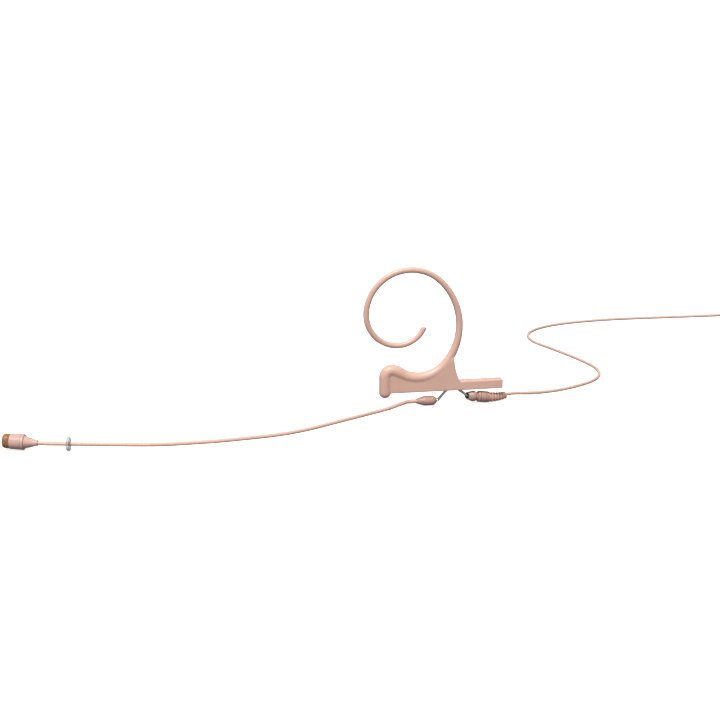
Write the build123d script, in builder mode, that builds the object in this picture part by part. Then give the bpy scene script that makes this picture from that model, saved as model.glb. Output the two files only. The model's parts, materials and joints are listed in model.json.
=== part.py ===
from build123d import *
from math import cos, pi, radians, sin, tan
import os

# Headset microphone, in millimetres: ear mount, boom with a miniature capsule, relief,
# cable and plug. +X runs along the ear mount's base, away from the capsule, and the boom
# bows towards -Y. Z = 0 is the surface that it stands on, and the origin is the middle
# of the object's footprint, measured without the free cable.

os.makedirs("parts", exist_ok=True)

# ---- Driving dimensions -------------------------------------------------------------
ROD_X, ROD_Y, ROD_Z = 70.21, 15.94, 6.5     # middle of the rod's straight part
ROD_D = 1.0
RUNNING_GAP = 0.04                        # radial clearance of a pin in its hole

BASE_RIGHT = 18.7                         # from the rod's middle
BASE_BOTTOM, BASE_TOP = 5.7, 9.2
BASE_THICKNESS = 3.4
GROOVE_LEFT, GROOVE_RIGHT = -13.0, 15.5
CLIP_D = 1.8
CLIP_LEFT, CLIP_RIGHT = -1.22, 0.76

HOOK_TIP = (-10.9, 30.1)
HOOK_HEADING = -113.0                     # degrees, at the tip
HOOK_ARCS = [(10.8, 86), (12.2, 75), (16.2, 129), (23.4, 62), (21.0, 29), (12.8, 74)]
HOOK_DIAMETERS = [(0.0, 2.1), (0.24, 2.3), (0.55, 2.3), (0.73, 2.75), (0.83, 3.3),
                  (0.92, 4.0), (1.0, 4.45)]   # share of the hook's length, diameter
SECTION_TURN = 12                         # degrees between the hook's sections
WEB_TOP_SHARES = (0.84, 0.88, 0.92, 0.96, 1.0)
FRONT_RUN = 3.1                           # straight slope before the front corner
FRONT_BEND = 2.5                          # radius of the rim's front corner
FRONT_END_Z = 5.9
CORE_D, CORE_CHANNEL_D = 0.7, 0.76

FERRULE_REAR, FERRULE_FRONT = -6.1, -13.7
FERRULE_D, FERRULE_Z = 3.6, 1.9
BOOM_START = -10.8
BOOM_POINTS = [(-17.0, 0.0, 1.94), (-25.5, -7.4, 1.99), (-64.0, -30.1, 2.21), (-88.9, -34.1, 2.36),
               (-109.5, -35.1, 2.48), (-147.4, -27.75, 2.67)]
BOOM_RADII = [4, 20, 60, 70, 70, 25]
BOOM_END = (-149.8, -27.07, 2.77)
JACKET_D, JACKET_BORE = 1.35, 0.84
SEAT_R = 0.7                              # bore that the jacket's end sits in
TUBE_D, TUBE_BORE = 0.8, 0.5
LEAD_D = 0.4
RING_D, RING_THICKNESS, RING_FROM_BEND = 4.9, 1.1, 8.0

NOSE_X, NOSE_Y, NOSE_Z = 5.38, -0.35, 3.13
NOSE_TURN, NOSE_TILT = 4.0, 7.4           # degrees: where the relief's rigid part points
COLLAR_END = 8.0                          # along the relief's axis, from its mouth
BOOT_LENGTH = 8.1
BOOT_TURN, BOOT_RISE = 30.0, 4.0          # degrees: where the bent boot points

CABLE_D = 1.2
COIL_X, COIL_Y = 165.0, 97.3              # from the rod's middle
COIL_INNER, COIL_OUTER = 3.1, 11.3        # radii of the wound ring
COIL_BOTTOM, COIL_TOP = 0.5, 5.3
TIE_THICKNESS, TIE_WIDTH = 0.5, 2.4
PLUG_Z = 2.8


def spot(x, y, z):
    """A point measured from the floor under the rod's middle, in the part's frame."""
    return Vector(ROD_X + x, ROD_Y + y, z)


SIDE = Plane(origin=spot(0, 0, 0), x_dir=(1, 0, 0), z_dir=(0, -1, 0))


def profile(plane, *points):
    """A closed outline of (along, radius) points in a plane, as a face."""
    with BuildSketch(plane) as face:
        with BuildLine():
            Polyline(*points, close=True)
        make_face()
    return face.sketch


def axis_of(plane):
    return Axis(plane.origin, plane.x_dir)


def tube_section(start, direction, outer, inner=0.0):
    """A round or annular section across a path's start."""
    with BuildSketch(Plane(origin=start, z_dir=direction)) as section:
        Circle(outer / 2)
        if inner:
            Circle(inner / 2, mode=Mode.SUBTRACT)
    return section.sketch


def save(piece, name):
    piece.part.label = name
    export_step(piece.part, f"parts/{name}.step")


# ---- Ear mount ----------------------------------------------------------------------
def hook_diameter(share):
    """Diameter of the hook at a share of its length, between the listed ones."""
    for (s0, d0), (s1, d1) in zip(HOOK_DIAMETERS, HOOK_DIAMETERS[1:]):
        if share <= s1:
            return d0 + (d1 - d0) * (share - s0) / (s1 - s0)
    return HOOK_DIAMETERS[-1][1]


with BuildLine(SIDE) as hook_line:
    heading = radians(HOOK_HEADING)
    arc = JernArc(HOOK_TIP, (cos(heading), sin(heading)), HOOK_ARCS[0][0], -HOOK_ARCS[0][1])
    for radius, turn in HOOK_ARCS[1:]:
        arc = JernArc(arc @ 1, arc % 1, radius, -turn)
    Line(arc @ 1, arc @ 1 + (arc % 1) * FRONT_RUN)
hook_path = hook_line.wire()
hook_end = hook_path @ 1
end_heading = HOOK_HEADING - sum(turn for _, turn in HOOK_ARCS) + 720

with BuildLine(SIDE) as front_line:
    corner = JernArc(hook_end, hook_path % 1, FRONT_BEND, 270 - end_heading)
    Line(corner @ 1, Vector((corner @ 1).X, (corner @ 1).Y, FRONT_END_Z))
front_path = front_line.wire()
front_x = (corner @ 1).X - ROD_X

with BuildPart() as ear_mount:
    stations = round(sum(turn for _, turn in HOOK_ARCS) / SECTION_TURN)
    for k in range(stations + 1):
        share = k / stations
        with BuildSketch(Plane(hook_path @ share, x_dir=(0, 1, 0), z_dir=hook_path % share)):
            Circle(hook_diameter(share) / 2)
    loft()
    rim_d = hook_diameter(1)
    sweep(tube_section(front_path @ 0, front_path % 0, rim_d), path=front_path)
    with Locations(front_path @ 1):
        Sphere(rim_d / 2)
    # Web under the rim, and the bar that runs on past the hook
    with BuildSketch(SIDE):
        with BuildLine():
            heel = Polyline((front_x, FRONT_END_Z + 5), (front_x, BASE_BOTTOM), (BASE_RIGHT, BASE_BOTTOM),
                            (BASE_RIGHT, BASE_TOP), (2.4, BASE_TOP))
            notch = ThreePointArc((2.4, BASE_TOP), (1.1, 12.6), (0.2, 18.3))
            inside_rim = [SIDE.to_local_coords(hook_path @ share) for share in WEB_TOP_SHARES]
            Polyline(notch @ 1, *inside_rim, heel @ 0)
        make_face()
    extrude(amount=BASE_THICKNESS / 2, both=True)
    # Groove for the clip: a bore along the base, open below through a flared mouth
    with BuildSketch(Plane(spot(GROOVE_LEFT, 0, 0), x_dir=(0, 1, 0), z_dir=(1, 0, 0))):
        with Locations((0, ROD_Z)):
            Circle(CLIP_D / 2 + RUNNING_GAP)
        with BuildLine():
            Polyline((-0.8, ROD_Z - 0.45), (0.8, ROD_Z - 0.45), (0.98, BASE_BOTTOM - 0.1),
                     (-0.98, BASE_BOTTOM - 0.1), close=True)
        make_face()
    extrude(amount=GROOVE_RIGHT - GROOVE_LEFT, mode=Mode.SUBTRACT)
    core_path = hook_path.trim(0.01, 0.995)
    sweep(tube_section(core_path @ 0, core_path % 0, CORE_CHANNEL_D), path=core_path,
          mode=Mode.SUBTRACT)
save(ear_mount, "ear_mount")

with BuildPart() as hook_core:
    sweep(tube_section(core_path @ 0, core_path % 0, CORE_D), path=core_path)
save(hook_core, "hook_core")


# ---- Rod, clip and leads ------------------------------------------------------------
def heading_of(turn, rise):
    """A unit vector turned from +X towards +Y and raised, both in degrees."""
    turn, rise = radians(turn), radians(rise)
    return Vector(cos(turn) * cos(rise), sin(turn) * cos(rise), sin(rise))


nose_heading = heading_of(NOSE_TURN, -NOSE_TILT)
NOSE = Plane(origin=spot(NOSE_X, NOSE_Y, NOSE_Z), x_dir=nose_heading,
             z_dir=nose_heading.cross(Vector(0, 0, 1)))


def on_nose(along):
    """A point on the relief's axis, measured from its mouth."""
    return NOSE.origin + nose_heading * along


rod_points = [spot(-9.6, 0, FERRULE_Z), spot(-5.75, 0, FERRULE_Z), spot(-1.61, 0, ROD_Z),
              spot(1.04, 0, ROD_Z), on_nose(0.2)]
rod_radii = [0.9, 0.8, 0.8, 1.0]
with BuildLine() as rod_line:
    FilletPolyline(*rod_points, on_nose(3.6), radius=rod_radii)
rod_path = rod_line.wire()
with BuildPart() as slide_rod:
    sweep(tube_section(rod_path @ 0, rod_path % 0, ROD_D, 0.5), path=rod_path)
save(slide_rod, "slide_rod")

with BuildLine() as rod_lead_line:
    FilletPolyline(*rod_points, on_nose(5.0), radius=rod_radii)
rod_lead_path = rod_lead_line.wire()
with BuildPart() as rod_lead:
    sweep(tube_section(rod_lead_path @ 0, rod_lead_path % 0, LEAD_D), path=rod_lead_path)
save(rod_lead, "rod_lead")

CLIP_SLIT = 0.7
with BuildPart() as grip_clip:
    with BuildSketch(Plane(spot(CLIP_LEFT, 0, ROD_Z), x_dir=(0, 1, 0), z_dir=(1, 0, 0))):
        Circle(CLIP_D / 2)
        Circle(ROD_D / 2 + RUNNING_GAP, mode=Mode.SUBTRACT)
        with Locations((0, -CLIP_D / 2)):
            Rectangle(CLIP_SLIT, CLIP_D, mode=Mode.SUBTRACT)
    extrude(amount=CLIP_RIGHT - CLIP_LEFT)
save(grip_clip, "grip_clip")

# ---- Boom ---------------------------------------------------------------------------
FERRULE = Plane(origin=spot(0, 0, FERRULE_Z), x_dir=(1, 0, 0), z_dir=(0, -1, 0))
ferrule_r = FERRULE_D / 2
with BuildPart() as boom_ferrule:
    outline = profile(
        FERRULE, (FERRULE_REAR, 0.53), (FERRULE_REAR, 0.8), (FERRULE_REAR - 1.1, ferrule_r - 0.1),
        (FERRULE_REAR - 1.5, ferrule_r), (FERRULE_REAR - 4.2, ferrule_r),
        (FERRULE_REAR - 4.8, ferrule_r - 0.1), (FERRULE_FRONT, 0.9), (FERRULE_FRONT, SEAT_R),
        (BOOM_START, SEAT_R), (BOOM_START, 0.3), (-9.7, 0.3), (-9.7, 0.53))
    revolve(outline, axis=axis_of(FERRULE))
save(boom_ferrule, "boom_ferrule")

boom_corners = [spot(BOOM_START, 0, FERRULE_Z)] + [spot(*point) for point in BOOM_POINTS]
boom_rear = spot(*BOOM_END)
boom_heading = (boom_rear - boom_corners[-1]).normalized()


def boom_path(extra):
    """The boom's line, carried on by extra mm into the capsule."""
    with BuildLine() as line:
        FilletPolyline(*boom_corners, boom_rear + boom_heading * extra, radius=BOOM_RADII)
    return line.wire()


jacket_path, tube_path, lead_path = boom_path(1.0), boom_path(1.9), boom_path(6.4)
with BuildPart() as boom_jacket:
    sweep(tube_section(jacket_path @ 0, jacket_path % 0, JACKET_D, JACKET_BORE), path=jacket_path)
save(boom_jacket, "boom_jacket")
with BuildPart() as boom_tube:
    sweep(tube_section(tube_path @ 0, tube_path % 0, TUBE_D, TUBE_BORE), path=tube_path)
save(boom_tube, "boom_tube")
with BuildPart() as boom_lead:
    sweep(tube_section(lead_path @ 0, lead_path % 0, LEAD_D), path=lead_path)
save(boom_lead, "boom_lead")

ring_heading = (boom_corners[-1] - boom_corners[-2]).normalized()
ring_middle = boom_corners[-1] - ring_heading * RING_FROM_BEND
RING = Plane(origin=ring_middle, x_dir=ring_heading, z_dir=ring_heading.cross(Vector(0, 0, 1)))
half, ring_r, ring_bore = RING_THICKNESS / 2, RING_D / 2, JACKET_D / 2 + RUNNING_GAP
with BuildPart() as moisture_ring:
    outline = profile(RING, (-half, ring_bore), (-half, ring_r - 0.15), (-half + 0.15, ring_r),
                      (half - 0.15, ring_r), (half, ring_r - 0.15), (half, ring_bore))
    revolve(outline, axis=axis_of(RING))
save(moisture_ring, "moisture_ring")

# ---- Capsule: every piece turns about the boom's last run, measured from its rear end --
CAPSULE = Plane(origin=boom_rear, x_dir=boom_heading, z_dir=boom_heading.cross(Vector(0, 0, 1)))
CAPSULE_AXIS = axis_of(CAPSULE)
GRID_START, GRID_END, GRID_R = 9.45, 12.15, 2.5
HOUSING_R, LIP_R = 2.675, 2.75
RIB_START, RIB_PITCH, RIB_COUNT, RIB_DEPTH = 6.0, 0.37, 8, 0.06

with BuildPart() as capsule_cone:
    outline = profile(
        CAPSULE, (0, SEAT_R), (0, 1.0), (0.12, 1.1), (0.4, 1.1), (0.45, 1.03), (4.5, 2.2),
        (4.55, 2.6), (4.7, LIP_R), (5.35, LIP_R), (5.5, LIP_R - 0.12), (5.5, 2.08), (4.9, 2.08),
        (4.9, 1.7), (2.0, SEAT_R))
    revolve(outline, axis=CAPSULE_AXIS)
save(capsule_cone, "capsule_cone")

rib_points = []
for k in range(RIB_COUNT):
    at = RIB_START + k * RIB_PITCH
    rib_points += [(at, HOUSING_R), (at + 0.05, HOUSING_R - RIB_DEPTH),
                   (at + 0.1, HOUSING_R - RIB_DEPTH), (at + 0.15, HOUSING_R)]
with BuildPart() as capsule_housing:
    outline = profile(
        CAPSULE, (5.0, 1.85), (5.0, 2.05), (5.5, 2.05), (5.5, 2.45), (5.7, 2.45),
        (5.7, HOUSING_R), *rib_points, (9.3, HOUSING_R), (9.4, 2.6), (9.4, 2.3), (10.6, 2.3),
        (10.6, 1.85))
    revolve(outline, axis=CAPSULE_AXIS)
save(capsule_housing, "capsule_housing")

with BuildPart() as protection_grid:
    outline = profile(
        CAPSULE, (GRID_START, 2.34), (GRID_START, GRID_R), (11.35, GRID_R), (11.75, 2.38),
        (11.95, 2.05), (11.95, 1.2), (GRID_END, 0.95), (GRID_END, 0), (11.7, 0), (11.7, 2.05),
        (11.35, 2.34))
    revolve(outline, axis=CAPSULE_AXIS)
    with BuildSketch(Plane(boom_rear + boom_heading * GRID_END, z_dir=boom_heading)):
        Circle(0.2)
        with PolarLocations(1.6, 8):
            Circle(0.2)
    extrude(amount=-1, mode=Mode.SUBTRACT)
save(protection_grid, "protection_grid")

# name: start, end, outer radius, inner radius
CAPSULE_RINGS = {
    "grid_felt": (10.85, 11.3, 2.3, 0.0),
    "diaphragm_ring": (10.13, 10.35, 1.62, 1.3),
    "diaphragm": (10.07, 10.13, 1.62, 0.0),
    "diaphragm_spacer": (9.95, 10.07, 1.62, 1.34),
    "backplate": (9.25, 9.89, 1.28, 0.0),
    "backplate_insulator": (8.75, 9.95, 1.62, 1.3),
    "preamp_board": (6.65, 7.05, 1.6, 0.0),
}
for name, (start, end, outer, inner) in CAPSULE_RINGS.items():
    with BuildPart() as disc:
        with BuildSketch(Plane(boom_rear + boom_heading * start, z_dir=boom_heading)):
            Circle(outer)
            if inner:
                Circle(inner, mode=Mode.SUBTRACT)
        extrude(amount=end - start)
    save(disc, name)

with BuildPart() as capsule_can:
    outline = profile(CAPSULE, (6.05, 1.65), (6.05, 1.82), (10.55, 1.82), (10.55, 0.7), (10.4, 0.7),
                      (10.4, 1.65))
    revolve(outline, axis=CAPSULE_AXIS)
save(capsule_can, "capsule_can")

with BuildPart() as preamp_transistor:
    with BuildSketch(Plane(boom_rear + boom_heading * 7.05, z_dir=boom_heading)):
        Rectangle(1.4, 1.0)
    extrude(amount=0.7)
save(preamp_transistor, "preamp_transistor")

# ---- Cable relief -------------------------------------------------------------------
NOSE_AXIS = axis_of(NOSE)
with BuildPart() as relief_nose:
    outline = profile(
        NOSE, (0, 1.08), (0, 1.25), (0.2, 1.4), (1.9, 1.93), (2.3, 1.98), (2.9, 1.95), (3.2, 1.8),
        (3.5, 1.55), (4.1, 1.55), (4.1, 0.5), (3.7, 0.5), (3.7, 0.84), (1.2, 0.84))
    revolve(outline, axis=NOSE_AXIS)
save(relief_nose, "relief_nose")

with BuildPart() as contact_sleeve:
    revolve(profile(NOSE, (1.7, ROD_D / 2), (1.7, 0.82), (3.65, 0.82), (3.65, ROD_D / 2)),
            axis=NOSE_AXIS)
save(contact_sleeve, "contact_sleeve")

COLLAR_R, COLLAR_GROOVES = 2.1, (5.0, 7.2)
groove_points = []
for at in COLLAR_GROOVES:
    groove_points += [(at, COLLAR_R), (at, COLLAR_R - 0.25), (at + 0.25, COLLAR_R - 0.25),
                      (at + 0.25, COLLAR_R)]
with BuildPart() as relief_collar:
    outline = profile(NOSE, (4.12, 1.0), (4.12, 1.85), (4.35, COLLAR_R), *groove_points,
                      (COLLAR_END, COLLAR_R), (COLLAR_END, 1.0))
    revolve(outline, axis=NOSE_AXIS)
save(relief_collar, "relief_collar")

with BuildPart() as crimp_tube:
    revolve(profile(NOSE, (4.2, 0.6), (4.2, 0.95), (7.7, 0.95), (7.7, 0.6)), axis=NOSE_AXIS)
save(crimp_tube, "crimp_tube")

exit_heading = heading_of(BOOT_TURN, BOOT_RISE)
boot_angle = nose_heading.get_angle(exit_heading)
boot_start = on_nose(COLLAR_END)
BOOT_PLANE = Plane(boot_start, x_dir=nose_heading, z_dir=nose_heading.cross(exit_heading))
with BuildLine(BOOT_PLANE) as boot_line:
    JernArc((0, 0), (1, 0), BOOT_LENGTH / radians(boot_angle), boot_angle)
boot_path = boot_line.wire()
BOOT_CORE_START_R, BOOT_CORE_END_R = 1.6, 0.95
BOOT_RIB_START_R, BOOT_RIB_END_R = 1.98, 1.3
BOOT_RIBS, BOOT_RIB_WIDTH = 7, 0.6
with BuildPart() as relief_boot:
    for k in range(5):
        share = k / 4
        with BuildSketch(Plane(boot_path @ share, z_dir=boot_path % share, x_dir=(0, 0, 1))):
            Circle(BOOT_CORE_START_R + (BOOT_CORE_END_R - BOOT_CORE_START_R) * share)
    loft()
    for k in range(BOOT_RIBS):
        share = (k + 0.25) / BOOT_RIBS
        rib_r = BOOT_RIB_START_R + (BOOT_RIB_END_R - BOOT_RIB_START_R) * k / (BOOT_RIBS - 1)
        with BuildSketch(Plane(boot_path @ share, z_dir=boot_path % share)):
            Circle(rib_r)
        extrude(amount=BOOT_RIB_WIDTH)
save(relief_boot, "relief_boot")

# ---- Cable: one route of hand-picked points, a coil and a tail to the plug -------------
cable_exit = boot_path @ 1
FLOOR_Z = CABLE_D / 2
CABLE_ROUTE = [
    (30.0, 5.9, 1.0), (38.0, 7.2, FLOOR_Z), (47.5, 10.0, FLOOR_Z), (62.8, 19.2, FLOOR_Z),
    (68.1, 33.0, FLOOR_Z), (64.1, 49.6, FLOOR_Z), (58.1, 66.0, FLOOR_Z), (52.0, 80.5, FLOOR_Z),
    (55.6, 94.6, FLOOR_Z), (70.0, 104.9, FLOOR_Z), (93.6, 109.1, FLOOR_Z),
    (114.1, 109.1, FLOOR_Z), (134.0, 108.2, FLOOR_Z), (149.5, 107.9, FLOOR_Z),
    (158.5, 108.0, 1.0), (163.5, 108.0, 1.1)]
EXIT_RUN = 2.0
TAIL_X = COIL_X + COIL_OUTER - CABLE_D / 2
TAIL_ROUTE = [(TAIL_X, COIL_Y + 1.0, 4.4), (TAIL_X, COIL_Y - 5.0, 4.1), (TAIL_X + 0.4, COIL_Y - 11.5, 2.2),
              (TAIL_X + 0.2, COIL_Y - 17.5, 2.3), (TAIL_X, COIL_Y - 23.0, PLUG_Z)]


def corner_radii(points):
    """Each corner's arc, as large as its two runs allow."""
    radii = []
    for before, here, after in zip(points, points[1:], points[2:]):
        run_in, run_out = here - before, after - here
        turned = radians(run_in.get_angle(run_out))
        radii.append(0.45 * min(run_in.length, run_out.length) / tan(turned / 2))
    return radii


def cable_part(points, name):
    radii = corner_radii(points)
    print(name, "radii", [round(r, 1) for r in radii])
    with BuildLine() as line:
        FilletPolyline(*points, radius=radii)
    path = line.wire()
    with BuildPart() as tube:
        sweep(tube_section(path @ 0, path % 0, CABLE_D), path=path)
    section = pi * CABLE_D ** 2 / 4
    print(name, "length", round(path.length, 1), "volume", round(tube.part.volume, 1),
          "section x length", round(section * path.length, 1))
    save(tube, name)


cable_points = [cable_exit, cable_exit + exit_heading * EXIT_RUN] + [spot(*p) for p in CABLE_ROUTE]
cable_part(cable_points, "cable")
cable_part([spot(*p) for p in TAIL_ROUTE], "cable_tail")

with BuildPart() as cable_coil:
    with BuildSketch(Plane(spot(COIL_X, COIL_Y, COIL_BOTTOM))):
        Circle(COIL_OUTER)
        Circle(COIL_INNER, mode=Mode.SUBTRACT)
    extrude(amount=COIL_TOP - COIL_BOTTOM)
save(cable_coil, "cable_coil")

with BuildPart() as cable_tie:
    inner_x, outer_x = COIL_INNER - 0.35, COIL_OUTER + 0.1
    tie_z = (COIL_TOP + COIL_BOTTOM) / 2
    with BuildSketch(Plane(spot(COIL_X - (inner_x + outer_x) / 2, COIL_Y, tie_z), x_dir=(1, 0, 0),
                           z_dir=(0, -1, 0))):
        width, height = outer_x - inner_x, COIL_TOP - COIL_BOTTOM
        RectangleRounded(width + 2 * TIE_THICKNESS, height + 2 * TIE_THICKNESS, 0.8)
        Rectangle(width, height, mode=Mode.SUBTRACT)
    extrude(amount=TIE_WIDTH / 2, both=True)
save(cable_tie, "cable_tie")

# ---- Plug: turned pieces on one axis, measured from the boot's rear ---------------------
PLUG = Plane(origin=spot(*TAIL_ROUTE[-1]), x_dir=(0, -1, 0), z_dir=(-1, 0, 0))
PLUG_AXIS = axis_of(PLUG)
NUT_START, NUT_END, NUT_R = 10.9, 18.4, 2.8
NUT_BORE_R, SHANK_R = 2.1, 1.1
PLUG_OUTLINES = {
    "plug_boot": [(0, 0), (0, 0.95), (6.0, 1.4), (6.0, 1.7), (7.6, 1.7), (7.6, 0)],
    "plug_crimp": [(7.6, SHANK_R + 0.02), (7.6, 1.9), (8.6, 1.9), (8.7, 1.75), (9.2, 1.75), (9.3, 1.9),
                   (10.4, 1.9), (10.4, SHANK_R + 0.02)],
    "plug_body": [(7.7, 0.5), (7.7, SHANK_R), (11.6, SHANK_R), (11.6, 1.95), (12.4, 1.95), (12.4, 1.6),
                  (12.8, 1.6), (12.8, 1.75), (17.6, 1.75), (17.6, 1.25), (12.6, 1.25), (12.6, 0.5)],
    "plug_insulator": [(12.7, 0.3), (12.7, 1.22), (16.6, 1.22), (16.6, 0.3)],
    "plug_pin": [(12.0, 0), (12.0, 0.28), (18.0, 0.28), (18.2, 0.1), (18.2, 0)],
}
for name, points in PLUG_OUTLINES.items():
    with BuildPart() as turned:
        revolve(profile(PLUG, *points), axis=PLUG_AXIS)
    save(turned, name)

with BuildPart() as plug_snap_ring:
    with BuildSketch(Plane(PLUG.origin + PLUG.x_dir * 12.5, z_dir=PLUG.x_dir)):
        Circle(2.0)
        Circle(1.62, mode=Mode.SUBTRACT)
        with Locations((0, 1.8)):
            Rectangle(0.6, 1.0, mode=Mode.SUBTRACT)
    extrude(amount=0.25)
save(plug_snap_ring, "plug_snap_ring")

FLUTES, FLUTE_R = 20, 0.2
with BuildPart() as plug_nut:
    outline = profile(
        PLUG, (NUT_START, SHANK_R + 0.06), (NUT_START, NUT_R - 0.3), (NUT_START + 0.3, NUT_R),
        (NUT_END - 2.0, NUT_R), (NUT_END - 1.8, NUT_R - 0.25), (NUT_END - 0.2, NUT_R - 0.25),
        (NUT_END, NUT_R - 0.4), (NUT_END, NUT_BORE_R), (11.5, NUT_BORE_R), (11.5, SHANK_R + 0.06))
    revolve(outline, axis=PLUG_AXIS)
    with BuildSketch(Plane(PLUG.origin + PLUG.x_dir * NUT_START, z_dir=PLUG.x_dir)):
        with PolarLocations(NUT_R + FLUTE_R / 3, FLUTES):
            Circle(FLUTE_R)
    extrude(amount=NUT_END - 2.0 - NUT_START, mode=Mode.SUBTRACT)
save(plug_nut, "plug_nut")
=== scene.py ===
import json
from math import cos, pi, radians, sin, sqrt

import bmesh
import bpy
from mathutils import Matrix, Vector


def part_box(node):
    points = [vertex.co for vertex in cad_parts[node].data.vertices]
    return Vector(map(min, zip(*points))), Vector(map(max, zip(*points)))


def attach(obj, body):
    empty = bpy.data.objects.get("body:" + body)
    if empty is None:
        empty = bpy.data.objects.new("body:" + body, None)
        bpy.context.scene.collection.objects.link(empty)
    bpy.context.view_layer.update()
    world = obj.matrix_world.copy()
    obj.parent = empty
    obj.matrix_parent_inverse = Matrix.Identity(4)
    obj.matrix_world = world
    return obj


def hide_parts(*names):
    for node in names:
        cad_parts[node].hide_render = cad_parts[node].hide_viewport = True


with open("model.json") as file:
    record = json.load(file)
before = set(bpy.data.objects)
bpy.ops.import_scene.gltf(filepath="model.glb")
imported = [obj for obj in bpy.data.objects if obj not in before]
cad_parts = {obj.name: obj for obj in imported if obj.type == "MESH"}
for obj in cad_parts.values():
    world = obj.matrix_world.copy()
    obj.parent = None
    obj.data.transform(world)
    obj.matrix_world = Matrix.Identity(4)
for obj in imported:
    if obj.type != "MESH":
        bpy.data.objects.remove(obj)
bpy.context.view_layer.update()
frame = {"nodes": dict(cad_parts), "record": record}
scene = bpy.context.scene

MM = 0.001
ROD_MIDDLE = Vector((0.07021, 0.01594, 0.0))     # the floor under the rod's middle
ROD_Z = 6.5 * MM
BOOT_LENGTH = 8.1 * MM


def heading_of(turn, rise):
    """A unit vector turned from +X towards +Y and raised, both in degrees."""
    turn, rise = radians(turn), radians(rise)
    return Vector((cos(turn) * cos(rise), sin(turn) * cos(rise), sin(rise)))


NOSE_HEADING = heading_of(4.0, -7.4)
EXIT_HEADING = heading_of(30.0, 4.0)


def mount_heading(name):
    """The axis of a mount in the record."""
    found = next(m for m in frame["record"]["mounts"] if m["name"] == name)
    return Vector(found["axis"]).normalized()


def axis_of(node, heading):
    """A turned CAD node's axis: the point on it where the node starts, and its length."""
    heading = heading.normalized()
    side = heading.orthogonal().normalized()
    up = heading.cross(side)
    points = [v.co for v in frame["nodes"][node].data.vertices]
    spans = []
    for direction in (heading, side, up):
        along = [p.dot(direction) for p in points]
        spans.append((min(along), max(along)))
    start = heading * spans[0][0] + side * sum(spans[1]) / 2 + up * sum(spans[2]) / 2
    return start, spans[0][1] - spans[0][0]


# ---- Materials ------------------------------------------------------------------------
def rgb(red, green, blue):
    """A colour given in 8-bit sRGB, as linear RGBA."""
    return tuple((c / 255 / 12.92 if c < 10 else ((c / 255 + 0.055) / 1.055) ** 2.4)
                 for c in (red, green, blue)) + (1.0,)


def set_sockets(shader, sockets):
    for name, value in sockets.items():
        shader.inputs[name].default_value = value


def grained(name, low, high, patch, rough, grain, bump, **sockets):
    """A material that drifts between two colours, with a grain in its roughness and surface.

    patch and grain are the sizes of the colour patches and of the grain in metres, rough is
    the (lowest, highest) roughness and bump the grain's height in metres.
    """
    made = bpy.data.materials.new(name)
    made.use_nodes = True
    nodes, link = made.node_tree.nodes, made.node_tree.links.new
    shader = nodes["Principled BSDF"]
    place = nodes.new("ShaderNodeTexCoord")
    patches = nodes.new("ShaderNodeTexNoise")
    patches.inputs["Scale"].default_value = 1 / patch
    patches.inputs["Detail"].default_value = 4
    colours = nodes.new("ShaderNodeValToRGB")
    colours.color_ramp.elements[0].position, colours.color_ramp.elements[0].color = 0.3, low
    colours.color_ramp.elements[1].position, colours.color_ramp.elements[1].color = 0.7, high
    grains = nodes.new("ShaderNodeTexNoise")
    grains.inputs["Scale"].default_value = 1 / grain
    grains.inputs["Detail"].default_value = 3
    spread = nodes.new("ShaderNodeMapRange")
    spread.inputs["To Min"].default_value, spread.inputs["To Max"].default_value = rough
    relief = nodes.new("ShaderNodeBump")
    relief.inputs["Strength"].default_value = 0.6
    relief.inputs["Distance"].default_value = bump
    link(place.outputs["Object"], patches.inputs["Vector"])
    link(place.outputs["Object"], grains.inputs["Vector"])
    link(patches.outputs["Fac"], colours.inputs["Fac"])
    link(colours.outputs["Color"], shader.inputs["Base Color"])
    link(grains.outputs["Fac"], spread.inputs["Value"])
    link(spread.outputs["Result"], shader.inputs["Roughness"])
    link(grains.outputs["Fac"], relief.inputs["Height"])
    link(relief.outputs["Normal"], shader.inputs["Normal"])
    set_sockets(shader, {k.replace("_", " "): v for k, v in sockets.items()})
    return made


def woven(name, low, high, pitch, rough, bump, **sockets):
    """A fine weave: two crossed waves that dip where threads pass under each other."""
    made = grained(name, low, high, pitch * 6, rough, pitch * 0.6, bump * 0.3, **sockets)
    nodes, link = made.node_tree.nodes, made.node_tree.links.new
    place = next(n for n in nodes if n.type == "TEX_COORD")
    relief = next(n for n in nodes if n.type == "BUMP")
    waves = []
    for direction in ("X", "Z"):
        wave = nodes.new("ShaderNodeTexWave")
        wave.bands_direction = direction
        wave.inputs["Scale"].default_value = 0.3 / pitch
        link(place.outputs["Object"], wave.inputs["Vector"])
        waves.append(wave)
    crossed = nodes.new("ShaderNodeMath")
    crossed.operation = "MAXIMUM"
    for wave, socket in zip(waves, crossed.inputs):
        link(wave.outputs["Fac"], socket)
    threads = nodes.new("ShaderNodeBump")
    threads.inputs["Distance"].default_value = bump
    link(crossed.outputs["Value"], threads.inputs["Height"])
    link(relief.outputs["Normal"], threads.inputs["Normal"])
    link(threads.outputs["Normal"], nodes["Principled BSDF"].inputs["Normal"])
    return made


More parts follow.
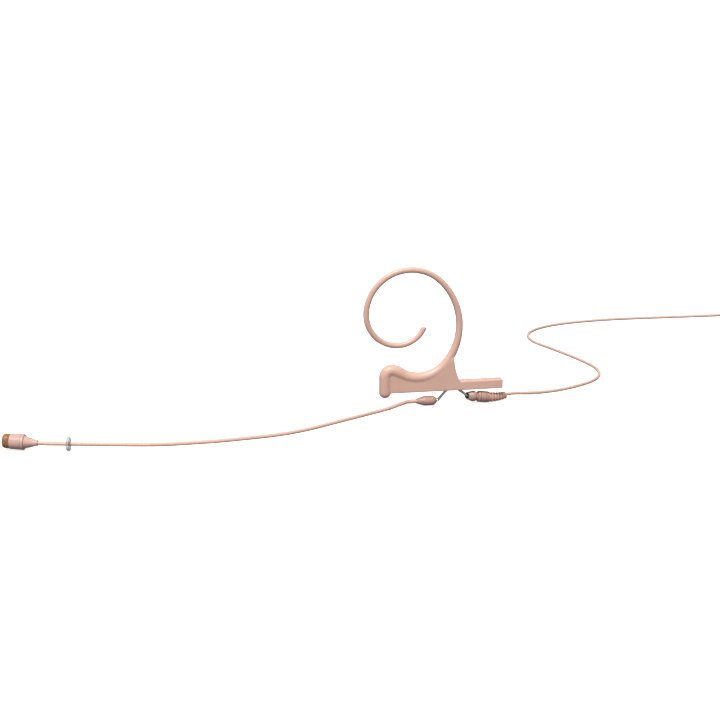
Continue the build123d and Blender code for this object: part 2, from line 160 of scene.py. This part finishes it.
SKIN = grained("skin_plastic", rgb(220, 177, 160), rgb(226, 184, 167), 9 * MM, (0.3, 0.4),
               0.25 * MM, 0.004 * MM, Specular_IOR_Level=0.5)
SKIN_DARK = grained("skin_moulding", rgb(182, 144, 130), rgb(190, 153, 139), 5 * MM, (0.32, 0.42),
                    0.2 * MM, 0.008 * MM, Specular_IOR_Level=0.4)
JACKET = grained("skin_jacket", rgb(222, 178, 160), rgb(228, 186, 168), 14 * MM, (0.4, 0.5),
                 0.12 * MM, 0.003 * MM, Specular_IOR_Level=0.35)
PAINT = grained("skin_paint", rgb(208, 170, 157), rgb(215, 178, 166), 3 * MM, (0.26, 0.36),
                0.1 * MM, 0.003 * MM, Specular_IOR_Level=0.5)
RUBBER = grained("skin_rubber", rgb(204, 163, 147), rgb(212, 171, 155), 3 * MM, (0.4, 0.5),
                 0.15 * MM, 0.006 * MM, Specular_IOR_Level=0.3)
CABLE = grained("skin_cable", rgb(218, 174, 157), rgb(225, 182, 165), 12 * MM, (0.42, 0.54),
                0.1 * MM, 0.003 * MM, Specular_IOR_Level=0.3)
BRONZE = grained("grid_bronze", rgb(186, 132, 92), rgb(224, 172, 132), 0.5 * MM, (0.35, 0.5),
                 0.08 * MM, 0.004 * MM, Metallic=0.3)
GAUZE = woven("grid_gauze", rgb(150, 94, 58), rgb(190, 132, 90), 0.12 * MM, (0.5, 0.7), 0.02 * MM,
              Metallic=0.3)
FELT = woven("felt", rgb(52, 40, 32), rgb(70, 54, 44), 0.15 * MM, (0.8, 0.95), 0.02 * MM,
             Sheen_Weight=0.4)
STEEL = grained("rod_steel", rgb(196, 195, 193), rgb(214, 213, 211), 2 * MM, (0.1, 0.18),
                0.05 * MM, 0.002 * MM, Metallic=1.0)
SPRING = grained("spring_steel", rgb(120, 122, 126), rgb(150, 151, 154), 2 * MM, (0.25, 0.4),
                 0.06 * MM, 0.002 * MM, Metallic=1.0)
ACETAL = grained("acetal", rgb(214, 206, 196), rgb(226, 220, 211), 1 * MM, (0.35, 0.45),
                 0.1 * MM, 0.003 * MM)
ENAMEL = grained("lead_enamel", rgb(120, 60, 34), rgb(148, 78, 44), 1 * MM, (0.25, 0.35),
                 0.06 * MM, 0.002 * MM, Coat_Weight=0.5)
BRASS = grained("brass", rgb(176, 142, 82), rgb(204, 170, 104), 1 * MM, (0.22, 0.36),
                0.08 * MM, 0.002 * MM, Metallic=1.0)
FILM = grained("film", rgb(196, 190, 170), rgb(214, 208, 190), 0.6 * MM, (0.15, 0.25),
               0.1 * MM, 0.001 * MM)
INSULATOR = grained("insulator", rgb(232, 230, 224), rgb(242, 240, 235), 0.8 * MM, (0.4, 0.5),
                    0.1 * MM, 0.002 * MM)
BOARD = woven("circuit_board", rgb(24, 78, 48), rgb(36, 100, 62), 0.1 * MM, (0.35, 0.5),
              0.006 * MM)
BLACK_AND_PAINTED_SHADE = grained("black_plastic", rgb(22, 22, 24), rgb(34, 34, 36), 0.8 * MM, (0.4, 0.55),
                0.08 * MM, 0.004 * MM)
TIE = woven("tie_fabric", rgb(30, 30, 33), rgb(52, 52, 56), 0.22 * MM, (0.75, 0.9), 0.05 * MM,
            Sheen_Weight=0.5)
NICKEL = grained("plug_nickel", rgb(170, 168, 163), rgb(196, 194, 189), 2 * MM, (0.16, 0.28),
                 0.08 * MM, 0.002 * MM, Metallic=1.0)
GOLD = grained("gold_pin", rgb(212, 168, 84), rgb(228, 188, 104), 1 * MM, (0.16, 0.26),
               0.06 * MM, 0.001 * MM, Metallic=1.0)
SILICONE = grained("clear_silicone", rgb(176, 176, 178), rgb(186, 186, 188), 2 * MM, (0.35, 0.45),
                   0.15 * MM, 0.001 * MM, IOR=1.41, Alpha=0.62)

CAD_MATERIALS = {
    SKIN: ["ear_mount"],
    STEEL: ["slide_rod"],
    SPRING: ["hook_core", "plug_snap_ring"],
    ACETAL: ["grip_clip"],
    ENAMEL: ["rod_lead", "boom_lead"],
    BRASS: ["boom_tube", "contact_sleeve", "crimp_tube", "capsule_can", "diaphragm_ring", "backplate"],
    JACKET: ["boom_jacket"],
    FILM: ["diaphragm", "diaphragm_spacer"],
    INSULATOR: ["backplate_insulator", "plug_insulator"],
    BOARD: ["preamp_board"],
    BLACK_AND_PAINTED_SHADE: ["preamp_transistor"],
    RUBBER: ["relief_boot", "plug_boot"],
    SKIN_DARK: ["boom_ferrule", "relief_nose", "relief_collar"],
    PAINT: ["capsule_cone", "capsule_housing"],
    BRONZE: ["protection_grid"],
    FELT: ["grid_felt"],
    NICKEL: ["plug_crimp", "plug_body", "plug_nut"],
    GOLD: ["plug_pin"],
    SILICONE: ["moisture_ring"],
}
for finish, names in CAD_MATERIALS.items():
    for name in names:
        data = frame["nodes"][name].data
        data.materials.clear()
        data.materials.append(finish)


# ---- Mesh helpers -----------------------------------------------------------------------
def add_mesh(name, mesh, finish, smooth_angle=None):
    """The bmesh as a new object with its material, smooth apart from edges over the angle."""
    data = bpy.data.meshes.new(name)
    bmesh.ops.recalc_face_normals(mesh, faces=mesh.faces)
    mesh.to_mesh(data)
    mesh.free()
    for polygon in data.polygons:
        polygon.use_smooth = True
    if smooth_angle:
        data.set_sharp_from_angle(angle=smooth_angle)
    data.materials.append(finish)
    made = bpy.data.objects.new(name, data)
    scene.collection.objects.link(made)
    return made


def rounded(outline, radius, steps=3):
    """A closed outline with each corner off the axis rounded, by less where a side is short."""
    points = []
    for k, here in enumerate(outline):
        before, after = outline[k - 1], outline[(k + 1) % len(outline)]
        here, before, after = (Vector(p).to_2d() for p in (here, before, after))
        reach = min(radius, 0.4 * (before - here).length, 0.4 * (after - here).length)
        start = here + (before - here).normalized() * reach
        end = here + (after - here).normalized() * reach
        if here.y <= 0:
            points.append(here)
            continue
        for step in range(steps + 1):
            t = step / steps
            points.append(start * (1 - t) ** 2 + here * 2 * t * (1 - t) + end * t * t)
    return points


def stand_in(made, node, body):
    """The made piece takes a CAD node's place."""
    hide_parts(node)
    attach(made, body)
    return made


def lathe(start, heading, outline, around=96):
    """A bmesh turned about an axis from a closed outline of (along, radius) in mm."""
    side = heading.orthogonal().normalized()
    up = heading.cross(side)
    mesh = bmesh.new()
    rings = []
    for along, radius in outline:
        ring = []
        for k in range(around):
            angle = 2 * pi * k / around
            out = side * cos(angle) + up * sin(angle)
            ring.append(mesh.verts.new(start + heading * along * MM + out * radius * MM))
        rings.append(ring)
    for ring, other in zip(rings, rings[1:] + rings[:1]):
        for k in range(around):
            k2 = (k + 1) % around
            mesh.faces.new((ring[k], ring[k2], other[k2], other[k]))
    return mesh


def turned(node, heading, outline, finish, body="boom_assembly", soft=0.08):
    """A turned piece in a CAD node's place, its outline measured from the node's start."""
    start, _ = axis_of(node, heading)
    mesh = lathe(start, heading, rounded(outline, soft))
    return stand_in(add_mesh(node + "_turned", mesh, finish, radians(50)), node, body)


# ---- Camera -----------------------------------------------------------------------------
camera = bpy.data.objects.new("camera", bpy.data.cameras.new("camera"))
scene.collection.objects.link(camera)
camera.location = (-0.05308, -0.50164, 0.1693)
camera.rotation_euler = (radians(74), 0, radians(-9.7))
camera.data.lens = 75
camera.data.sensor_width = 36
camera.data.clip_start, camera.data.clip_end = 0.02, 40
scene.camera = camera

# ---- Cable --------------------------------------------------------------------------------
CABLE_D = 0.0012
FLOOR_Z = CABLE_D / 2
EXIT_RUN = 0.0020
CABLE_ROUTE = [     # from the rod's middle, as the CAD's tube runs
    (0.0300, 0.0059, 0.0010), (0.0380, 0.0072, FLOOR_Z), (0.0475, 0.0100, FLOOR_Z),
    (0.0628, 0.0192, FLOOR_Z), (0.0681, 0.0330, FLOOR_Z), (0.0641, 0.0496, FLOOR_Z),
    (0.0581, 0.0660, FLOOR_Z), (0.0520, 0.0805, FLOOR_Z), (0.0556, 0.0946, FLOOR_Z),
    (0.0700, 0.1049, FLOOR_Z), (0.0936, 0.1091, FLOOR_Z), (0.1141, 0.1091, FLOOR_Z),
    (0.1340, 0.1082, FLOOR_Z), (0.1495, 0.1079, FLOOR_Z), (0.1585, 0.1080, 0.0010),
    (0.1635, 0.1080, 0.0011)]
TAIL_ROUTE = [
    (0.1757, 0.0983, 0.0044), (0.1757, 0.0923, 0.0041), (0.1761, 0.0858, 0.0022),
    (0.1759, 0.0798, 0.0023), (0.1757, 0.0743, 0.0028)]
COIL_MIDDLE = (0.1650, 0.0973)
COIL_R_IN, COIL_R_OUT = 0.0037, 0.0107           # the innermost and outermost turns' radii
COIL_LAYERS, LAYER_LOW_Z = 4, 0.0011
TURNS, POINTS_PER_TURN = 23.25, 16


def coil_points():
    """Turns wound clockwise in layers, alternately inwards and outwards, from the back."""
    widen = 1 / cos(pi / POINTS_PER_TURN)         # the spline runs inside its control points
    count = round(TURNS * POINTS_PER_TURN)
    points = []
    for k in range(1, count):
        layer = k / count * COIL_LAYERS
        number, share = int(layer), layer % 1
        inwards = share if number % 2 == 0 else 1 - share
        radius = (COIL_R_OUT + (COIL_R_IN - COIL_R_OUT) * inwards) * widen
        climb = min(max((share - 0.96) / 0.04, 0), 1)
        angle = pi / 2 - 2 * pi * k / POINTS_PER_TURN
        points.append((COIL_MIDDLE[0] + radius * cos(angle), COIL_MIDDLE[1] + radius * sin(angle),
                       LAYER_LOW_Z + CABLE_D * min(number + climb, COIL_LAYERS - 1)))
    return points


def boot_line(share):
    """A point on the bent boot's middle line, and the line's heading there."""
    angle = NOSE_HEADING.angle(EXIT_HEADING)
    sideways = (EXIT_HEADING - NOSE_HEADING * NOSE_HEADING.dot(EXIT_HEADING)).normalized()
    bend = BOOT_LENGTH / angle
    turned_by = angle * share
    point = BOOT_START + (NOSE_HEADING * sin(turned_by) + sideways * (1 - cos(turned_by))) * bend
    return point, NOSE_HEADING * cos(turned_by) + sideways * sin(turned_by)


collar_start, collar_length = axis_of("relief_collar", NOSE_HEADING)
BOOT_START = collar_start + NOSE_HEADING * collar_length
cable_exit, _ = boot_line(1.0)

curve = bpy.data.curves.new("cable_cord", "CURVE")
curve.dimensions = "3D"
curve.resolution_u = 6
curve.bevel_depth = CABLE_D / 2
curve.bevel_resolution = 5
curve.use_fill_caps = True
route = [cable_exit, cable_exit + EXIT_HEADING * EXIT_RUN]
route += [ROD_MIDDLE + Vector(p) for p in CABLE_ROUTE + coil_points() + TAIL_ROUTE]
spline = curve.splines.new("NURBS")
spline.points.add(len(route) - 1)
for control, place in zip(spline.points, route):
    control.co = (*place, 1)
spline.order_u = 3
spline.use_endpoint_u = True
curve.materials.append(CABLE)
cable = bpy.data.objects.new("cable_cord", curve)
scene.collection.objects.link(cable)
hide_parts("cable", "cable_coil", "cable_tail")
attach(cable, "boom_assembly")


def cable_tie():
    """A flat fabric strap round the coil: one closed loop with rounded corners."""
    low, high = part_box("cable_tie")
    thick, wide = 0.42 * MM, (high.y - low.y) * 0.94
    middle = (low + high) / 2
    half_x, half_z = (high.x - low.x - thick) / 2, (high.z - low.z - thick) / 2
    corner = 0.8 * MM
    path = []
    for quarter, (sx, sz) in enumerate(((1, 1), (-1, 1), (-1, -1), (1, -1))):
        for step in range(7):
            angle = pi / 2 * (quarter + step / 6)
            path.append((middle.x + sx * (half_x - corner) + corner * cos(angle),
                         middle.z + sz * (half_z - corner) + corner * sin(angle)))
    mesh = bmesh.new()
    sections = []
    for k, (x, z) in enumerate(path):
        bx, bz = path[k - 1]
        ax, az = path[(k + 1) % len(path)]
        out = Vector((az - bz, 0, bx - ax)).normalized()
        edge = []
        for across, depth in ((-1, -0.5), (-0.86, 0.5), (0.86, 0.5), (1, -0.5)):
            edge.append(mesh.verts.new(Vector((x, middle.y + across * wide / 2, z)) + out * depth * thick))
        sections.append(edge)
    for edge, other in zip(sections, sections[1:] + sections[:1]):
        for k in range(4):
            mesh.faces.new((edge[k], edge[(k + 1) % 4], other[(k + 1) % 4], other[k]))
    made = add_mesh("cable_tie_strap", mesh, TIE, radians(40))
    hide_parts("cable_tie")
    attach(made, "boom_assembly")
    return made


tie = cable_tie()

# ---- Ear mount ------------------------------------------------------------------------------
def ear_moulding():
    """The CAD's ear mount with its fillets: remeshed and relaxed, apart from the clip's groove."""
    copy = bpy.data.objects.new("remesh_source", frame["nodes"]["ear_mount"].data.copy())
    scene.collection.objects.link(copy)
    remesh = copy.modifiers.new("remesh", "REMESH")
    remesh.mode = "VOXEL"
    remesh.voxel_size = 0.22 * MM
    evaluated = copy.evaluated_get(bpy.context.evaluated_depsgraph_get())
    mesh = bmesh.new()
    mesh.from_mesh(evaluated.to_mesh())
    bpy.data.objects.remove(copy)
    # the hook's wire channel is a closed cavity: only the outer skin stays
    unseen, skins = set(mesh.verts), []
    while unseen:
        queue = [unseen.pop()]
        skin = set(queue)
        while queue:
            for edge in queue.pop().link_edges:
                for vert in edge.verts:
                    if vert in unseen:
                        unseen.discard(vert)
                        skin.add(vert)
                        queue.append(vert)
        skins.append(skin)
    outer = max(skins, key=len)
    bmesh.ops.delete(mesh, geom=[v for v in mesh.verts if v not in outer], context="VERTS")
    groove = 1.15 * MM
    free = [v for v in mesh.verts
            if sqrt((v.co.y - ROD_MIDDLE.y) ** 2 + (v.co.z - ROD_Z) ** 2) > groove]
    tail = ROD_MIDDLE.x + 4 * MM             # the bar's free end keeps crisper corners
    crisp = [v for v in free if v.co.x > tail]
    soft = [v for v in free if v.co.x <= tail]
    for verts, passes in ((crisp, 3), (soft, 9)):
        for _ in range(passes):
            bmesh.ops.smooth_vert(mesh, verts=verts, factor=0.5, use_axis_x=True,
                                  use_axis_y=True, use_axis_z=True)
    return stand_in(add_mesh("ear_moulding", mesh, SKIN), "ear_mount", "ear_piece")


ear_moulding()

# ---- Capsule --------------------------------------------------------------------------------
CAPSULE_HEADING = mount_heading("windscreen_seat")
LIP_R, HOUSING_R, RIB_DEPTH = 2.75, 2.675, 0.06
turned("capsule_cone", CAPSULE_HEADING,
       [(0, 0.7), (0, 1.0), (0.12, 1.1), (0.4, 1.1), (0.45, 1.03), (4.5, 2.2), (4.55, 2.6),
        (4.7, LIP_R), (5.35, LIP_R), (5.5, LIP_R - 0.12), (5.5, 2.08), (4.9, 2.08), (4.9, 1.7),
        (2.0, 0.7)], PAINT, soft=0.1)
ribs = []
for k in range(8):
    at = 1.0 + 0.37 * k
    ribs += [(at, HOUSING_R), (at + 0.06, HOUSING_R - RIB_DEPTH), (at + 0.12, HOUSING_R - RIB_DEPTH),
             (at + 0.18, HOUSING_R)]
turned("capsule_housing", CAPSULE_HEADING,
       [(0, 1.85), (0, 2.05), (0.5, 2.05), (0.5, 2.45), (0.7, 2.45), (0.7, HOUSING_R)] + ribs
       + [(4.3, HOUSING_R), (4.4, 2.6), (4.4, 2.3), (5.6, 2.3), (5.6, 1.85)], PAINT,
       soft=0.05)


def perforated_grid():
    """The cap as a fine lattice of crossing wires, with a gauze skin just inside it."""
    start, _ = axis_of("protection_grid", CAPSULE_HEADING)
    side = CAPSULE_HEADING.orthogonal().normalized()
    up = CAPSULE_HEADING.cross(side)
    wall = [(0.02, 2.46), (0.3, 2.46), (0.6, 2.46), (0.9, 2.46), (1.2, 2.46), (1.5, 2.46),
            (1.8, 2.45), (2.08, 2.38), (2.32, 2.24), (2.47, 2.02), (2.52, 1.76), (2.56, 1.48),
            (2.6, 1.2), (2.63, 0.92), (2.65, 0.62), (2.66, 0.3)]
    around = 52
    mesh = bmesh.new()
    rings = []
    for row, (along, radius) in enumerate(wall):
        ring = []
        for k in range(around):
            angle = 2 * pi * (k + 0.5 * (row % 2)) / around
            out = side * cos(angle) + up * sin(angle)
            ring.append(mesh.verts.new(start + CAPSULE_HEADING * along * MM + out * radius * MM))
        rings.append(ring)
    for row, (ring, other) in enumerate(zip(rings, rings[1:])):
        for k in range(around):
            k2 = (k + 1) % around
            if row % 2 == 0:
                mesh.faces.new((ring[k], ring[k2], other[k]))
                mesh.faces.new((ring[k2], other[k2], other[k]))
            else:
                mesh.faces.new((ring[k], other[k2], other[k]))
                mesh.faces.new((ring[k], ring[k2], other[k2]))
    mesh.faces.new(rings[-1])
    lattice = add_mesh("grid_lattice", mesh, BRONZE, radians(60))
    wires = lattice.modifiers.new("wires", "WIREFRAME")
    wires.thickness = 0.1 * MM
    wires.use_even_offset = False
    stand_in(lattice, "protection_grid", "grid_cap")
    inner = [(along - 0.06, radius - 0.09) for along, radius in wall]
    skin = lathe(start, CAPSULE_HEADING, [(0.0, 2.34)] + inner + [(2.55, 0.0), (2.5, 0.0)]
                 + [(along - 0.06, radius - 0.04) for along, radius in reversed(inner[1:])]
                 + [(0.05, 2.33)])
    bmesh.ops.remove_doubles(skin, verts=skin.verts, dist=1e-6)
    gauze = add_mesh("grid_gauze", skin, GAUZE, radians(60))
    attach(gauze, "grid_cap")


perforated_grid()
RING_HEADING = Vector((-37.9, 7.35, 0.19)).normalized()      # the boom's last long run
turned("moisture_ring", RING_HEADING,
       [(0, 0.715), (0, 2.45), (1.1, 2.45), (1.1, 0.715)], SILICONE, "sweat_ring",
       soft=0.35)

# ---- Ferrule and cable relief ----------------------------------------------------------------
turned("boom_ferrule", Vector((1, 0, 0)),
       [(0, 0.7), (0, 0.9), (2.5, 1.65), (3.1, 1.8), (6.1, 1.8), (6.5, 1.7), (7.6, 0.8), (7.6, 0.53),
        (4.0, 0.53), (4.0, 0.3), (2.9, 0.3), (2.9, 0.7)], SKIN_DARK, soft=0.3)
nose = turned("relief_nose", NOSE_HEADING,
              [(0, 1.08), (0, 1.25), (0.2, 1.4), (1.9, 1.93), (2.3, 1.98), (2.9, 1.95), (3.2, 1.8),
               (3.5, 1.55), (4.1, 1.55), (4.1, 0.5), (3.7, 0.5), (3.7, 0.84), (1.2, 0.84)],
              SKIN_DARK, soft=0.12)
# painted shade: the faces inside the mouth that look at the axis, behind the rim, take the black plastic
# to stand for the shadow in the bore
nose.data.materials.append(BLACK_AND_PAINTED_SHADE)
nose_start, _ = axis_of("relief_nose", NOSE_HEADING)
MOUTH_DEPTH, MOUTH_SLANT = 1.3 * MM, 0.42      # the rim is cut at a slant, open to the front
for vert in nose.data.vertices:
    along = (vert.co - nose_start).dot(NOSE_HEADING)
    if along < MOUTH_DEPTH:
        set_back = (nose_start.y - vert.co.y) * MOUTH_SLANT * (1 - along / MOUTH_DEPTH)
        vert.co += NOSE_HEADING * set_back
for face in nose.data.polygons:
    offset = face.center - nose_start
    along = offset.dot(NOSE_HEADING)
    across = offset - NOSE_HEADING * along
    if -0.5 * MM < along < 3.8 * MM and face.normal.dot(across) < 0 and across.length < 1.06 * MM:
        # painted shade: these inner faces get the black plastic as the bore's shadow
        face.material_index = 1
COLLAR_R, COLLAR_NECK_R = 2.1, 1.85
turned("relief_collar", NOSE_HEADING,
       [(0, 1.0), (0, COLLAR_NECK_R), (0.23, COLLAR_R), (0.88, COLLAR_R), (0.88, COLLAR_NECK_R),
        (1.13, COLLAR_NECK_R), (1.13, COLLAR_R), (3.08, COLLAR_R), (3.08, COLLAR_NECK_R),
        (3.33, COLLAR_NECK_R), (3.33, COLLAR_R), (3.88, COLLAR_R), (3.88, 1.0)],
       SKIN_DARK, soft=0.12)


def ribbed_boot():
    """The bent boot: a tapering core with rounded ribs along its line."""
    ribs, steps, around = 7, 14, 48
    mesh = bmesh.new()
    rings = []
    for step in range(ribs * steps + 1):
        share = step / (ribs * steps)
        point, heading = boot_line(share)
        core, crown = 1.2 - 0.48 * share, 2.0 - 0.68 * share
        phase = (share * ribs) % 1 if step < ribs * steps else 1.0
        bump = sqrt(max(0.0, 1 - ((phase - 0.5) / 0.33) ** 2))
        radius = (core + (crown - core) * bump) * MM
        side = heading.cross(Vector((0, 0, 1))).normalized()
        up = side.cross(heading)
        rings.append([mesh.verts.new(point + (side * cos(2 * pi * k / around)
                                              + up * sin(2 * pi * k / around)) * radius)
                      for k in range(around)])
    for ring, other in zip(rings, rings[1:]):
        for k in range(around):
            k2 = (k + 1) % around
            mesh.faces.new((ring[k], ring[k2], other[k2], other[k]))
    mesh.faces.new(rings[0])
    mesh.faces.new(rings[-1])
    return stand_in(add_mesh("relief_boot_ribbed", mesh, RUBBER, radians(60)), "relief_boot",
                    "boom_assembly")


ribbed_boot()

# ---- Floor and light ------------------------------------------------------------------------
FLOOR_SIZE = 40.0
mesh = bmesh.new()
bmesh.ops.create_grid(mesh, x_segments=8, y_segments=8, size=FLOOR_SIZE / 2)
pale = grained("pale_floor", rgb(246, 246, 246), rgb(250, 250, 250), 0.4, (0.8, 0.9), 0.01, 1e-5,
               Emission_Strength=0.7, Emission_Color=(1.0, 1.0, 1.0, 1.0))
floor = add_mesh("floor", mesh, pale)
floor.visible_diffuse = False
floor.visible_glossy = False

sun = bpy.data.lights.new("key", "SUN")
sun.energy, sun.angle = 3.2, radians(24)
key = bpy.data.objects.new("key", sun)
scene.collection.objects.link(key)
key.rotation_euler = Vector((0.30, 0.56, -1.0)).to_track_quat("-Z", "Y").to_euler()

world = bpy.data.worlds.new("studio")
scene.world = world
world.use_nodes = True
nodes, link = world.node_tree.nodes, world.node_tree.links.new
place = nodes.new("ShaderNodeTexCoord")
height = nodes.new("ShaderNodeSeparateXYZ")
shades = nodes.new("ShaderNodeValToRGB")
SKY = [(0.0, 0.26), (0.40, 0.16), (0.47, 0.62), (0.54, 0.74), (0.66, 0.40), (1.0, 0.75)]
for k, (position, level) in enumerate(SKY):
    stop = shades.color_ramp.elements[k] if k < 2 else shades.color_ramp.elements.new(position)
    stop.position, stop.color = position, (level, level, level, 1.0)
lift = nodes.new("ShaderNodeMapRange")
lift.inputs["From Min"].default_value = -1.0
link(place.outputs["Generated"], height.inputs["Vector"])
link(height.outputs["Z"], lift.inputs["Value"])
link(lift.outputs["Result"], shades.inputs["Fac"])
link(shades.outputs["Color"], nodes["Background"].inputs["Color"])
nodes["Background"].inputs["Strength"].default_value = 0.8

scene.view_settings.view_transform = "Standard"
